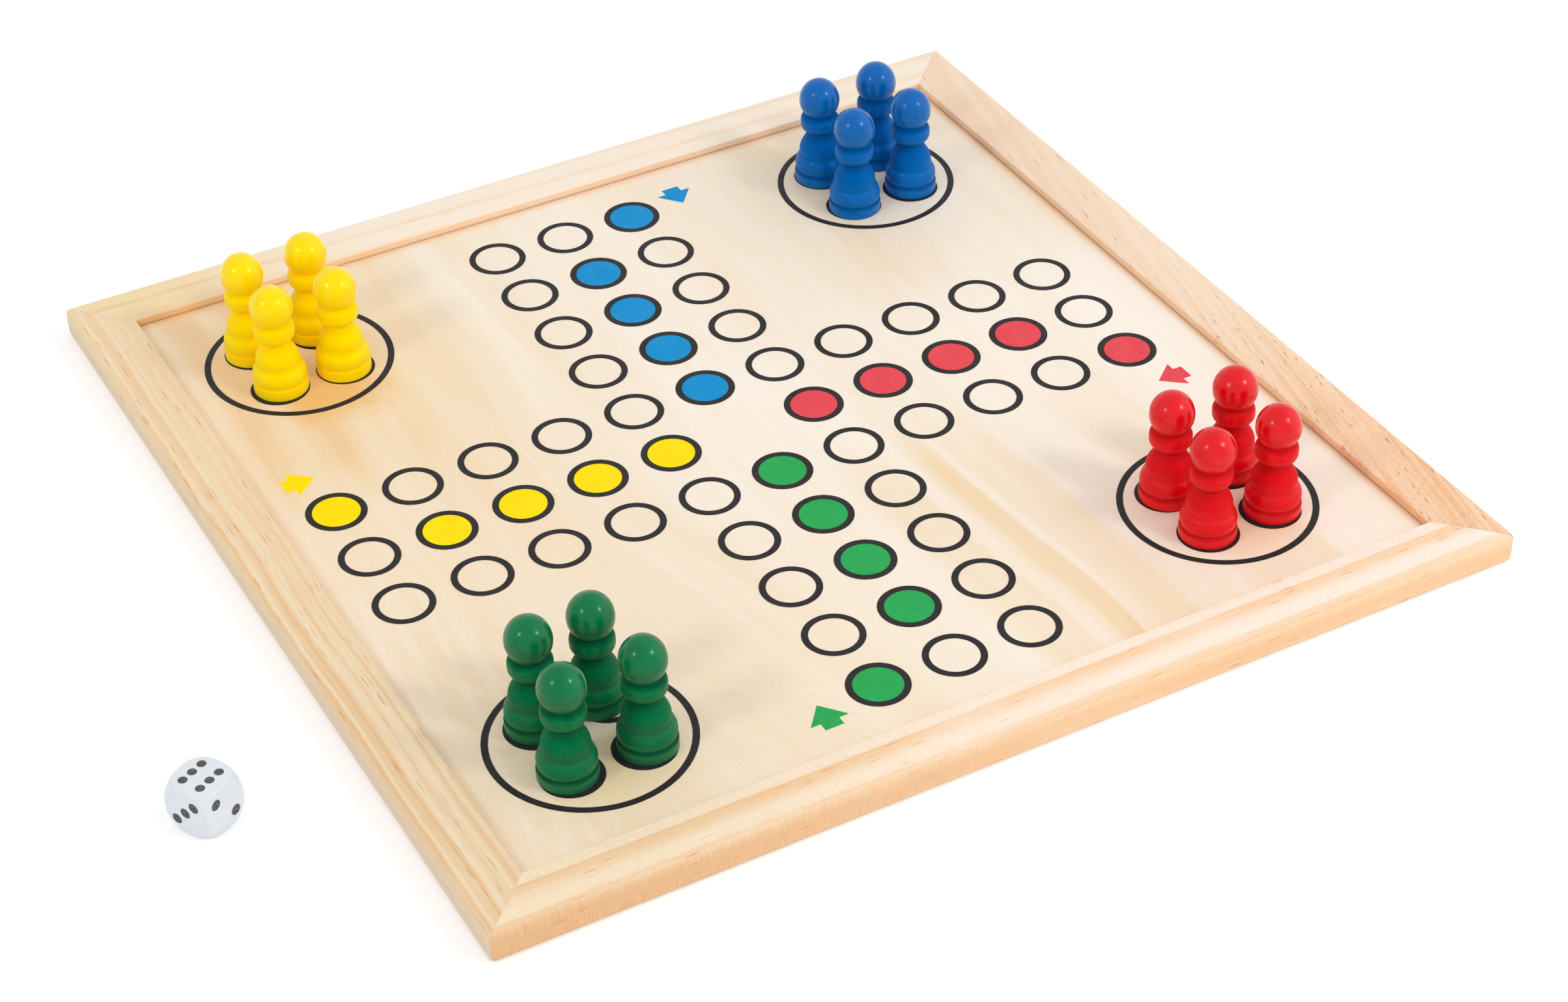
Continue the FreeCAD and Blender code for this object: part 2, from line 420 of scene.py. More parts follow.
def arc_points(a, b, c, steps):
    """Points on the circle from a through b to c, without a itself."""
    (ax, ay), (bx, by), (cx, cy) = a, b, c
    d = 2 * (ax * (by - cy) + bx * (cy - ay) + cx * (ay - by))
    sa, sb, sc = [x * x + y * y for x, y in (a, b, c)]
    ux = (sa * (by - cy) + sb * (cy - ay) + sc * (ay - by)) / d
    uy = (sa * (cx - bx) + sb * (ax - cx) + sc * (bx - ax)) / d
    radius = math.hypot(ax - ux, ay - uy)
    start, middle, end = [math.atan2(y - uy, x - ux) for x, y in (a, b, c)]
    turn = (end - start) % (2 * math.pi)
    if (middle - start) % (2 * math.pi) > turn:
        turn -= 2 * math.pi
    return [(ux + radius * math.cos(start + turn * k / steps),
             uy + radius * math.sin(start + turn * k / steps)) for k in range(1, steps + 1)]


def quarter_turned(x, y, turns):
    """A point of the pattern after quarter turns about its centre."""
    for _ in range(turns):
        x, y = -y, x
    return x, y


def on_board(x, y):
    """A point of the pattern in the board's axes."""
    return (print_shift[0] + x * math.cos(print_turn) - y * math.sin(print_turn),
            print_shift[1] + x * math.sin(print_turn) + y * math.cos(print_turn))


def seat_places(turns):
    """Middles of the four seats in the home corner of that turn."""
    corner = quarter_turned(-home_centre, -home_centre, turns)
    return [(corner[0] + side_x * seat_offset, corner[1] + side_y * seat_offset)
            for side_x, side_y in ((-1, -1), (1, -1), (-1, 1), (1, 1))]


# Wood of the rails


def flecks(paint, along, across, length, width, share, seed, soft=0.35):
    """Short streaks along the grain: 1 inside one, 0 between them."""
    place = paint.vector(along / length, across / width, seed)
    cells = paint.node("TexVoronoi", {"Vector": place, "Scale": 1.0}, "Distance")
    pick = paint.node("SeparateColor", {0: cells.output("Color")})
    return (1.0 - cells.step(0.5 - soft, 0.5)) * pick.below(share)


def pine(name, quarter, look):
    """Planed pine of one rail: growth bands, fine grain, resin streaks, saw marks and dark mitre
    joints, with painted shade at the foot of the lip.
    """
    paint = Paint(name)
    x, y, z = paint.place()
    along, out = [(x, -y), (y, x), (-x, y), (-y, -x)][quarter]
    inward = out - half_opening
    seed = look.seed
    face = inward.step(rail_width - outer_arris, rail_width - 0.3)
    far_end = along.step(*look.change)
    drift = paint.noise(along / look.drift_length, seed, inward / 40.0) - 0.5
    depth = inward + (rail_height - z) * 0.9
    shiver = paint.noise(along / 9.0, inward / 3.0, seed + 2.0, 3.0, 0.6) - 0.5
    level = depth + drift * look.drift + shiver * 0.7 - along * look.slope
    rings = paint.noise(along / 200.0, level / look.ring_gap, seed)
    grain = paint.noise(along / 45.0, level / 0.8, seed + 4.0, 3.0, 0.6)
    hair = paint.noise(along / 14.0, level / 0.26, seed + 5.0, 2.0, 0.6)
    felt = paint.noise(along / 0.24, depth / 0.9, seed + 8.0, 2.0, 0.65)
    broad = paint.noise(along / 50.0, depth / 12.0, seed + 9.0)
    bands = (level / band_reach).ramp([(place / band_reach, tone) for place, tone in look.bands])
    tone = bands * (broad.step(0.2, 0.6) * 0.6 + 0.5) + rings.step(0.42, 0.66) * look.rings
    tone = tone + grain.step(0.5, 0.75) * look.grain + hair.step(0.5, 0.8) * 0.12
    pale, band, side = [far_end.blend(*ends) for ends in (look.pale, look.band, look.side)]
    side = ((1.0 - z.step(4.8, 6.2)) * look.grey).blend(side, (230, 209, 186))
    pale = face.blend(pale, side)
    band = face.blend(band, look.side_band)
    colour = (tone + (felt - 0.5) * 0.3).blend(pale, band)
    rib_width, rib_length = look.rib_size
    ribs = paint.noise(along / rib_width, depth / rib_length, seed, 2.0, 0.6)
    rib = ribs.step(0.42, 0.7)
    strength = far_end.between(*look.rib) + face * far_end.between(*look.saw)
    colour = (strength * rib).blend(colour, (248, 216, 182), "MULTIPLY")
    threads = flecks(paint, along, level, look.streak_length, 0.3, look.streak_share, seed + 3.0)
    short = flecks(paint, along + 7.0, level, 3.4, 0.42, look.fleck_share, seed + 6.0, 0.3)
    here = along.step(look.fleck_from, look.fleck_to) * 0.75 + 0.15
    colour = (threads * (bands * 0.7 + grain.step(0.3, 0.6) * 0.5 + 0.3)).blend(colour, look.resin)
    colour = (short * here).blend(colour, look.knot)
    lip = 1.0 - inward.step(0.0, 0.3)
    colour = (lip * 0.45).blend(colour, (246, 190, 132))
    # Painted shade: a dark brown line at the foot of the lip, where the rail meets the panel.
    seam = lip * (1.0 - z.step(6.25, 6.75)) * look.seam
    mitre = 1.0 - (out - abs(along)).step(0.05, 0.24)
    mitre = mitre * along.step(-1.0, 1.0).between(*look.mitre)
    mitre = mitre * (inward.step(3.0, 9.0) * 0.8 + 0.2)
    # The painted shade at the lip and the dark mitre joints share one brown.
    colour = seam.at_least(mitre).blend(colour, (150, 92, 50))
    relief = grain * 0.4 + hair * 0.4 + felt * 0.3 + rib * strength - short * 0.8
    return paint.finish(colour, 0.5 + hair * 0.16, relief, 0.08, 0.35, 0.3)


pine_base = dict(
    drift_length=120.0, slope=0.0, ring_gap=3.0, rib=(0.08, 0.08), rib_size=(0.3, 5.0),
    saw=(0.0, 0.0), grey=0.0, streak_length=6.0, fleck_share=0.0, fleck_from=0.0, fleck_to=1.0,
    change=(-150.0, 150.0), seam=0.8, mitre=(0.1, 0.1), resin=(226, 148, 90), knot=(182, 108, 72),
    side=((242, 206, 160), (250, 216, 174)), side_band=(232, 190, 140))
pine_looks = (
    dict(pine_base, seed=3.0, drift=1.3, streak_share=0.035, rings=0.08, grain=0.12, rib=(0.3, 0.2),
         saw=(0.3, 0.05), change=(-150.0, 60.0), mitre=(0.06, 0.45),
         pale=((246, 229, 200), (254, 238, 223)), band=((237, 196, 146), (249, 208, 164)),
         side=((231, 195, 154), (254, 220, 182)), side_band=(238, 184, 130),
         bands=((0.0, 0.15), (0.5, 0.06), (3.8, 0.06), (4.5, 0.95), (5.4, 0.7), (6.4, 0.75),
                (7.8, 0.45), (9.4, 0.15), (10.6, 0.04), (13.4, 0.05), (14.4, 0.6), (16.0, 0.6),
                (17.2, 0.1), (18.5, 0.3), (21.0, 0.5), (23.0, 0.25), (25.0, 0.5))),
    dict(pine_base, seed=11.0, seam=0.3, drift=5.0, drift_length=110.0, slope=0.2, ring_gap=2.2,
         rings=0.6, grain=0.3, streak_share=0.022, streak_length=8.0, fleck_share=0.045,
         fleck_from=30.0, fleck_to=-60.0, rib=(0.7, 0.15), rib_size=(0.26, 2.0),
         change=(-110.0, 20.0), mitre=(0.45, 0.06), pale=((248, 216, 184), (247, 226, 203)),
         band=((236, 178, 129), (244, 214, 184)), resin=(204, 128, 82),
         bands=((0.0, 0.5), (3.2, 0.5), (5.0, 0.1), (26.0, 0.1))),
    dict(pine_base, seed=19.0, seam=0.25, drift=2.4, drift_length=160.0, slope=0.02, rings=0.12,
         grain=0.16, streak_share=0.012, pale=((251, 238, 222), (246, 225, 182)),
         band=((247, 219, 185), (235, 194, 146)), change=(50.0, 130.0), resin=(236, 194, 146),
         bands=((0.0, 0.4), (0.7, 0.15), (5.8, 0.1), (6.7, 0.8), (7.6, 0.5), (8.8, 0.05),
                (13.0, 0.05), (15.0, 0.3), (16.0, 0.5), (20.0, 0.3), (26.0, 0.3))),
    dict(pine_base, seed=27.0, drift=4.0, drift_length=55.0, ring_gap=1.5, rings=0.36, grain=0.28,
         streak_share=0.07, streak_length=8.5, grey=1.0, pale=((243, 226, 196), (240, 222, 190)),
         band=((237, 195, 144), (230, 190, 142)), resin=(216, 132, 78), seam=0.5,
         side=((242, 216, 176), (238, 210, 168)), side_band=(226, 202, 172),
         bands=((0.0, 0.45), (1.4, 0.2), (3.0, 0.5), (5.0, 0.15), (6.5, 0.4), (9.0, 0.08),
                (10.2, 0.1), (11.0, 0.7), (13.0, 0.4), (14.2, 0.15), (15.2, 0.75), (17.0, 0.3),
                (22.0, 0.2), (26.0, 0.3))),
)


# Frame rails


def moulding_section():
    """Points of the moulding's section as (y, z), anticlockwise from the outer bottom edge."""
    outer, lip = -half_board, -half_opening
    shoulder = rail_height - top_crown
    edge = 0.25

    def rounded(corner, start, end, radius):
        """Round from start to end past a corner, with a support point on each side."""
        def past(way, length):
            return corner[0] + way[0] * length, corner[1] + way[1] * length

        a, c = past(start, radius), past(end, radius)
        b = past((start[0] + end[0], start[1] + end[1]), radius * half_bend)
        arc = arc_points(a, b, c, arris_steps)
        return [past(start, radius + edge), a] + arc + [past(end, radius + edge)]

    points = rounded((outer, 0.0), (0, 1), (1, 0), outer_arris)
    points += rounded((lip, 0.0), (-1, 0), (0, 1), lip_arris)
    points += [(lip, groove_low), (lip - groove_depth, groove_low),
               (lip - groove_depth, groove_high), (lip, groove_high)]
    points += rounded((lip, shoulder), (0, -1), (-1, 0), lip_arris)[:-1]
    crown_start = points[-1]
    crown_end = (outer + outer_arris, shoulder)
    points += arc_points(crown_start, ((outer + lip) / 2, rail_height), crown_end, crown_steps)[:-1]
    points += rounded((outer, shoulder), (1, 0), (0, -1), outer_arris)[1:]
    return points


def rail_former():
    """Tree for a mitred length of moulding, turned to its side of the board."""
    g = Former("moulded_rail", Object="Section", Int="Stations", Vector="Turn",
               Float="Half_Side Corner_Round Vee Start_Gap End_Gap Wave Seed")
    half = g["Half_Side"]
    path = g.geo("CurvePrimitiveLine", {"Start": (-1.0, 0.0, 0.0), "End": (1.0, 0.0, 0.0)})
    path = g.geo("ResampleCurve", {"Curve": path, "Count": g["Stations"]})
    bar = g.geo("CurveToMesh",
                {"Curve": path, "Profile Curve": g.points_of("Section"), "Fill Caps": True})
    t, y, z = g.where()
    short = 1.0 - abs(t)
    share = 1.0 - short * short
    side = t.math("SIGN")
    reach = -y
    outwards = reach.step(half * 0.955, half)
    gap = t.step(-0.1, 0.1).between(g["Start_Gap"], g["End_Gap"])
    x = share * (reach - gap * outwards)
    inner = half - g["Corner_Round"]
    ax, ay = x - inner, reach - inner
    scale = ay / (ax * ax + ay * ay).root().at_least(1e-9)
    in_corner = ax.at_most(ay).above(0.0)
    round_x = in_corner.between(x, inner + ax * scale)
    round_y = in_corner.between(reach, inner + ay * scale)
    ripple = g.noise(round_x * side * 25.0, y * 30.0, z * 120.0 + g["Seed"])
    away = (1.0 - share) * reach
    near_mitre = 1.0 - away.step(0.02 * MM, 0.18 * MM)
    sunk = g["Vee"] * near_mitre * z.step(7.0 * MM, 8.0 * MM)
    bar = g.moved(bar, Position=g.vector(round_x * side, ripple * g["Wave"] - round_y, z - sunk))
    g.end(g.turned(bar, Rotation=g["Turn"]))
    return g


def build_rails():
    """Four lengths of the same moulding, mitred and glued round the panel."""
    section = bpy.data.curves.new("section", "CURVE")
    points = moulding_section()
    spline = section.splines.new("POLY")
    spline.points.add(len(points) - 1)
    for point, (y, z) in zip(spline.points, points):
        point.co = (-y * MM, -z * MM, 0.0, 1.0)
    spline.use_cyclic_u = True
    profile = mesh_object("section", section)
    former = rail_former()
    for turns, side in enumerate(("front", "right", "back", "left")):
        look = SimpleNamespace(**pine_looks[turns])
        start_gap, end_gap = mitre_gaps[turns]
        rail = former.form(
            "moulding_" + side, Section=profile, Half_Side=half_board * MM,
            Corner_Round=corner_round * MM, Stations=rail_stations, Vee=mitre_vee * MM,
            Start_Gap=start_gap * MM, End_Gap=end_gap * MM, Wave=rail_wave * MM, Seed=3.1 * turns,
            Turn=(0.0, 0.0, turns * math.pi / 2), Material=pine("pine_" + side, turns, look))
        smooth(rail.data, 40.0)
        settle(rail, "board", "pine_moulding", "rail_" + side)
    drop(profile)


# Plywood panel


def veneer_tone(across, stops):
    """How warm the veneer is across the panel, 0 to 1, at given places in millimetres."""
    return ((across + half_board) / board_side).ramp(
        [((place + half_board) / board_side, tone) for place, tone in stops], "EASE")


def plywood():
    """Pale sanded veneer: warm flames to the left, cool to the right, fine fibre and speckle, with
    painted shade about the pawns and along the rails.
    """
    paint = Paint("plywood_face")
    x, y, z = paint.place()
    slow = paint.noise(x / 90.0, y / 130.0, 2.0) - 0.5
    wavy = paint.noise(x / 24.0, y / 60.0, 7.0) - 0.5
    across = x + slow * 12.0 + wavy * 7.0
    leaning = across + (y + 25.0).at_most(0.0) * (0.2 - x.step(-20.0, 20.0) * 0.12)
    # On the far side the warmer rise about x 74 is painted shade of the blue pawns.
    far = veneer_tone(across, (
        (-134, 0.5), (-122, 0.9), (-115, 0.6), (-104, 0.95), (-96, 0.6), (-80, 0.66), (-72, 0.5),
        (-62, 0.56), (-52, 0.4), (-44, 0.16), (-38, 0.34), (-22, 0.24), (-8, 0.14), (6, 0.12),
        (24, 0.28), (48, 0.24), (62, 0.34), (74, 0.5), (86, 0.34), (104, 0.16), (120, 0.24),
        (134, 0.4)))
    near = veneer_tone(leaning, (
        (-145, 0.5), (-125, 0.55), (-108, 0.5), (-90, 0.42), (-62, 0.46), (-50, 0.36), (-38, 0.42),
        (-30, 0.26), (-15, 0.24), (4, 0.14), (13, 0.46), (22, 0.42), (25, 0.18), (28, 0.3),
        (31, 0.62), (36.5, 0.68), (37.5, 0.24), (43, 0.42), (53, 0.44), (58, 0.2), (70, 0.14),
        (80, 0.3), (96, 0.3), (98, 0.12), (112, 0.18), (130, 0.3)))
    middle = veneer_tone(across, (
        (-134, 0.5), (-100, 0.5), (-72, 0.56), (-48, 0.4), (-30, 0.24), (-10, 0.12), (18, 0.06),
        (38, 0.22), (52, 0.14), (80, 0.08), (106, 0.12), (134, 0.12)))
    tone = y.step(14.0, 52.0).between(middle, far)
    tone = y.step(-14.0, -52.0).between(tone, near)
    tone = tone + y.step(-85.0, -132.0) * x.step(28.0, 48.0) * 0.12
    fan = paint.noise((x - y * 0.14) / 3.6, y / 170.0, 15.0, 1.0)
    tone = tone - fan.step(0.54, 0.6) * x.step(-92.0, -106.0) * y.step(-8.0, -30.0) * 0.1
    tone = tone - x.step(107.6, 108.2) * y.step(48.0, 6.0) * 0.16
    streak = paint.noise(leaning / 1.7, y / 90.0, 9.0, 3.0, 0.62)
    flame = paint.noise(leaning / 6.0, y / 60.0, 5.0, 3.0)
    fibre = paint.noise(x / 0.3, y / 3.0, 1.0, 2.0, 0.65)
    speck = paint.noise(x / 0.5, y / 0.8, 6.0, 2.0, 0.6)
    tone = tone + (flame - 0.5) * 0.4 + (streak - 0.5) * 0.28
    tone = tone + (fibre - 0.5) * 0.18 + (speck - 0.5) * 0.36
    colour = tone.ramp([(0.0, (250, 239, 226)), (0.25, (247, 232, 212)), (0.5, (244, 224, 195)),
                        (0.75, (243, 214, 174)), (1.0, (239, 202, 154))])
    wander = paint.noise(x / 7.0, y / 7.0, 12.0) - 0.5
    slash = (y + 85.4 + (x + 77.0) * 0.65 + wander * 6.0, -112.0, -86.0, 0.35)
    rising = (x + 41.0 + (y - 80.0) * 0.07 + wander * 2.4, 40.0, 118.0, 0.5)
    short = (x + 61.0 + wander * 2.0, -2.0, 30.0, 0.5)
    bent = (x + 44.0 + (y + 38.0) * 0.34 + wander * 5.0, -76.0, -38.0, 0.35)
    for distance, low, high, strength in (slash, rising, short, bent):
        line = 1.0 - abs(distance).step(0.15, 0.9)
        here = y.step(low - 7.0, low) * y.step(high + 7.0, high)
        colour = (line * here * (strength * 0.4)).blend(colour, (252, 245, 234))
    # Painted shade and bounced pawn colour on the panel in front of the yellow, green and red
    # pawns.
    for (middle_x, middle_y), (half_x, half_y), share, pawn_shade_tint in (
            ((-96, 72), (24, 17), 0.8, (234, 184, 100)),
            ((-97, -112), (30, 18), 0.45, (240, 216, 150)),
            ((95, -111), (28, 14), 0.35, (244, 198, 146))):
        u, v = (x - middle_x) / half_x, (y - middle_y) / half_y
        apart = (u * u + v * v).root() + wander * 0.6
        colour = (apart.step(1.0, 0.1) * share).blend(colour, pawn_shade_tint)
    pore = flecks(paint, y, x, 2.6, 0.45, 0.06, 8.0, 0.3)
    colour = (pore * 0.07).blend(colour, (214, 184, 146))
    rim = abs(x).at_least(abs(y))
    far_rim = x.at_least(y)
    # Painted shade with warm bounced light along the back and right rails, and a painted shadow
    # line at the foot of the rails all round.
    colour = (far_rim.step(half_opening - 3.6, half_opening) * 0.5).blend(colour, (240, 188, 132))
    colour = (rim.step(half_opening - 0.5, half_opening - 0.15) * 0.3).blend(colour, (170, 116, 72))
    ply = (z - groove_low).math("PINGPONG", panel_ply)
    core = ply.step(panel_ply * 0.42, panel_ply * 0.58).blend((236, 212, 172), (205, 168, 122))
    edge = z.below(panel_face - face_skin) * z.above(groove_low + face_skin)
    colour = edge.blend(colour, core)
    relief = fibre * 0.5 + streak * 0.3 + speck * 0.3
    return paint.finish(colour, 0.5 + fibre * 0.12, relief, 0.05, 0.3, 0.3)


def dress_panel():
    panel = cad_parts["panel"]
    panel.data.materials.clear()
    panel.data.materials.append(plywood())


# Print


def ink(name, colour, dark, light, worn):
    """Matt screen ink over the grain: mottled, and thinner on the harder fibres."""
    paint = Paint(name)
    x, y, z = paint.place()
    cloud = paint.noise(x / 5.0, y / 9.0, 1.0, 3.0, 0.6)
    fibre = paint.noise(x / 0.3, y / 2.2, 4.0, 2.0, 0.6)
    speck = paint.noise(x / 0.32, y / 0.45, 7.0, 2.0, 0.6)
    mixed = (cloud.step(0.35, 0.7) * 0.5).blend(colour, dark)
    mixed = (fibre.step(0.5, 0.8) * worn).blend(mixed, light)
    mixed = (speck.step(0.6, 0.8) * worn).blend(mixed, light)
    relief = fibre * 0.5 + speck * 0.3 + cloud * 0.3
    return paint.finish(mixed, 0.44 + cloud * 0.2, relief, 0.03, 0.3, 0.35,
                        Specular_Tint=light)


def ring_shape(g, radius, sides):
    """Closed ring with the line's width, drawn inwards from its outer radius."""
    flat = g.rolled(sides, 2, radius - g["Line"] * (0.5 - g.where()[1]))
    return g.thick(g.geo("FlipFaces", {"Mesh": flat}), g["Thickness"])


def roughened(g, geometry):
    """Edges nudged sideways, as a screen leaves them on wood."""
    jog = g.node("TexNoise", {"Vector": g.geo("InputPosition"), "Scale": ragged_scale,
                              "Detail": 2.0, "Roughness": 0.6}, "Color")
    x, y, z = jog.parts()
    offset = g.vector((x - 0.5) * g["Ragged"], (y - 0.5) * g["Ragged"], 0.0)
    return g.moved(g.geo("RealizeInstances", {0: geometry}), Offset=offset)


def lines_former():
    """Tree for all black outlines: a ring on each field and seat, a circle round each home."""
    g = Former("screened_lines", Object="Fields Homes",
               Float="Radius Home_Radius Line Thickness Segments Ragged")
    parts = []
    for places, radius, finer in (("Fields", "Radius", 1.0), ("Homes", "Home_Radius", 3.0)):
        parts.append(g.copies(places, ring_shape(g, g[radius], g["Segments"] * finer)))
    g.end(roughened(g, g.join(*parts)))
    return g


def fills_former():
    """Tree for one colour: a disc in each of its fields and its starting arrow."""
    g = Former("screened_fills", Object="Fields Arrow", Int="Segments",
               Float="Radius Thickness Ragged")
    disc = g.geo("MeshCircle", {"Vertices": g["Segments"], "Radius": g["Radius"]}, fill_type="NGON")
    discs = g.copies("Fields", g.thick(disc, g["Thickness"]))
    arrow = g.thick(g.points_of("Arrow"), g["Thickness"])
    g.end(roughened(g, g.join(discs, arrow)))
    return g


def arrow_outline(turns):
    """Corners of the starting arrow beside the first field, and points along its sides."""
    tail = -print_reach
    barb = tail + arrow_stem_length
    tip = barb + arrow_head_length
    half_stem, half_head = arrow_stem_width / 2, arrow_width / 2
    corners = [(-half_stem, tail), (half_stem, tail), (half_stem, barb), (half_head, barb),
               (0, tip), (-half_head, barb), (-half_stem, barb)]
    points = []
    for (ax, ay), (bx, by) in zip(corners, corners[1:] + corners[:1]):
        steps = max(1, round(math.hypot(bx - ax, by - ay) / arrow_step))
        points += [(ax + (bx - ax) * k / steps, ay + (by - ay) * k / steps) for k in range(steps)]
    return laid([quarter_turned(x - arrow_axis, y, turns) for x, y in points])


def laid(places):
    """Places of the pattern as points on the panel's face."""
    return [(*on_board(x, y), panel_face) for x, y in places]


def build_print():
    """Black lines, and each colour's fills under them."""
    reach = range(-5, 6)
    rings = [(i * field_pitch, j * field_pitch) for i in reach for j in reach
             if (abs(i) <= 1 or abs(j) <= 1) and (i, j) != (0, 0)]
    for turns in range(4):
        rings += seat_places(turns)
    homes = [quarter_turned(-home_centre, -home_centre, turns) for turns in range(4)]
    field_points, home_points = helper("fields", laid(rings)), helper("homes", laid(homes))
    black = ink("ink_black", (47, 44, 45), (38, 35, 36), (76, 71, 70), 0.35)
    lines = lines_former().form(
        "print_lines", Fields=field_points, Homes=home_points, Radius=ring_radius * MM,
        Home_Radius=home_radius * MM, Line=print_line * MM, Thickness=line_thick * MM,
        Segments=ring_sides, Ragged=ragged_edge * MM, Material=black)
    settle(lines, "board", "ink_black", "print_black")
    drop(field_points, home_points)
    inks = dict(
        green=((44, 168, 86), (34, 158, 78), (70, 180, 104), 0.5),
        red=((232, 76, 86), (224, 66, 76), (240, 106, 110), 0.5),
        blue=((14, 144, 208), (0, 136, 200), (44, 162, 216), 0.4),
        yellow=((255, 226, 0), (253, 218, 0), (255, 234, 20), 0.4))
    former = fills_former()
    for turns, colour in enumerate(COLOURS):
        start = quarter_turned(-field_pitch, -5 * field_pitch, turns)
        fields = [start] + [quarter_turned(0, -step * field_pitch, turns) for step in range(1, 5)]
        outline = arrow_outline(turns)
        points = helper("fields", laid(fields))
        arrow = helper("arrow", outline, [range(len(outline))])
        fill = former.form(
            "print_fill_" + colour, Fields=points, Arrow=arrow,
            Radius=(ring_radius - print_line + fill_overlap) * MM, Thickness=fill_thick * MM,
            Segments=fill_sides, Ragged=ragged_edge * 0.5 * MM,
            Material=ink("ink_" + colour, *inks[colour]))
        settle(fill, "board", "ink_" + colour, "print_" + colour)
        drop(points, arrow)


# Pawns


def lacquer(name, height, colour, deep, dull, shine, pits, top_coat, level):
    """Coloured lacquer over turned wood: full on the bulges, thin and dull on upright walls, with
    painted shade in the creases and a painted reflection of the board on the lower head.
    """
    paint = Paint(name)
    x, y, z = paint.place()
    rings = paint.noise(x / 60.0, y / 60.0, z * 1.8, 3.0, 0.7)
    cloud = paint.noise(x / 3.5, y / 3.5, z / 5.0, 3.0, 0.6)
    ripple = paint.noise(x / 1.1, y / 1.1, z / 0.8, 2.0, 0.55)
    sand = paint.noise(x / 0.26, y / 0.26, z / 0.3, 2.0, 0.7)
    worn = paint.noise(x / 5.0, y / 5.0, z / 8.0 + 4.0).step(0.4, 0.62)
    pit = paint.noise(x / 0.34, y / 0.34, z / 0.9, 2.0, 0.7).step(0.54, 0.7)
    share = (z - pawn_foot) / height + (cloud - 0.5) * 0.03
    dry = share.ramp([
        (0.0, 0.35), (0.1, 0.4), (0.2, 0.5), (0.33, 0.9), (0.48, 1.0), (0.52, 0.7), (0.62, 0.6),
        (0.7, 0.35), (0.78, 0.12), (0.84, 0.0)])
    # Thinner, duller lacquer on upright walls, and on the lower head a painted reflection of the
    # pale board.
    thin = share.ramp([
        (0.0, 0.8), (0.06, 0.65), (0.085, 0.5), (0.11, 0.9), (0.14, 0.55), (0.17, 0.0), (0.22, 0.0),
        (0.245, 0.75), (0.3, 0.9), (0.34, 0.3), (0.37, 0.0), (0.43, 0.0), (0.5, 0.9), (0.545, 0.9),
        (0.58, 0.2), (0.61, 0.0), (0.655, 0.1), (0.68, 1.0), (0.78, 0.9), (0.85, 0.15),
        (0.87, 0.0)])
    # Painted shade in the creases (groove, step, neck, under the collar, the head's seam), with
    # lacquer pooled darker there; the same mask makes them matt.
    hollow = share.ramp([
        (0.077, 0.0), (0.088, 0.7), (0.103, 1.0), (0.12, 0.2), (0.14, 0.0), (0.24, 0.0),
        (0.26, 0.25), (0.28, 0.0), (0.41, 0.2), (0.46, 0.7), (0.49, 1.0), (0.51, 0.2), (0.53, 0.0),
        (0.62, 0.0), (0.65, 0.7), (0.672, 1.0), (0.685, 0.3), (0.7, 0.0)])
    pitted = pit * (worn * 0.85 + 0.15) * dry * pits
    mixed = (cloud.step(0.3, 0.75) * 0.3).blend(colour, deep)
    # Thin walls and the painted board reflection blend towards the dull colour.
    mixed = (thin * (0.55 + rings * 0.4)).blend(mixed, dull)
    mixed = (sand.step(0.48, 0.7) * (dry * 0.6 + 0.05) * pits).blend(mixed, dull)
    # Painted shade: the creases darkened towards the deep colour.
    mixed = (hollow * 0.8).blend(mixed, deep)
    mixed = (pitted * 0.8).blend(mixed, deep)
    relief = rings * 0.3 + ripple * 0.6 + sand * (dry * 0.3 + 0.16) + cloud * 0.9 - pitted
    matt = (dry * 0.3 + hollow * 0.3).at_most(0.4)
    coat = (top_coat - matt * 1.4).at_least(0.0)
    return paint.finish(mixed, matt + 0.26 + pitted * 0.2, relief, 0.12, 0.5, level,
                        Coat_Weight=coat, Coat_Roughness=0.17, Specular_Tint=shine)


def pawn_outline(height):
    """Outline of a pawn from the middle of its foot to its crown, as (radius, height) points."""
    shares = dict(
        band=(1.0, 0.082), shoulder=(0.985, 0.094), groove=(0.925, 0.103), bulge=(0.980, 0.160),
        step=(0.850, 0.242), waist=(0.800, 0.272), dome=(0.776, 0.342), dome_top=(0.620, 0.411),
        neck=(0.476, 0.482), collar_foot=(0.520, 0.500), collar_low=(0.700, 0.531),
        collar_side=(0.745, 0.570), collar_shoulder=(0.745, 0.598), collar_rim=(0.712, 0.634),
        collar_top=(0.580, 0.662))
    at = SimpleNamespace(**{name: (radius * pawn_radius, rise * height)
                            for name, (radius, rise) in shares.items()})
    foot_round = foot_round_share * height
    foot = ((pawn_radius - foot_round, 0.0),
            (pawn_radius - foot_round * half_bend, foot_round * half_bend),
            (pawn_radius, foot_round))
    points = [(0.0, 0.0), (pawn_radius * 0.6, 0.0), (foot[0][0] - 0.2, 0.0), foot[0]]
    points += arc_points(*foot, 5)
    points += [(pawn_radius, foot_round + 0.3), (pawn_radius, at.band[1] - 0.3)]
    points += [at.band, at.shoulder, at.groove]
    points += arc_points(at.groove, at.bulge, at.step, 20) + [at.waist]
    points += arc_points(at.waist, at.dome, at.dome_top, 16) + [at.neck, at.collar_foot]
    points += arc_points(at.collar_foot, at.collar_low, at.collar_side, 12)
    points += [at.collar_shoulder]
    points += arc_points(at.collar_shoulder, at.collar_rim, at.collar_top, 12)
    wide, centre = head_radius_share * pawn_radius, head_centre_share * height
    high = height - centre
    start = -math.acos(at.collar_top[0] / wide)
    points += [(wide * math.cos(angle), centre + high * math.sin(angle))
               for angle in (start + (math.pi / 2 - start) * k / 44 for k in range(45))]
    points[-1] = (0.0, height)
    return points


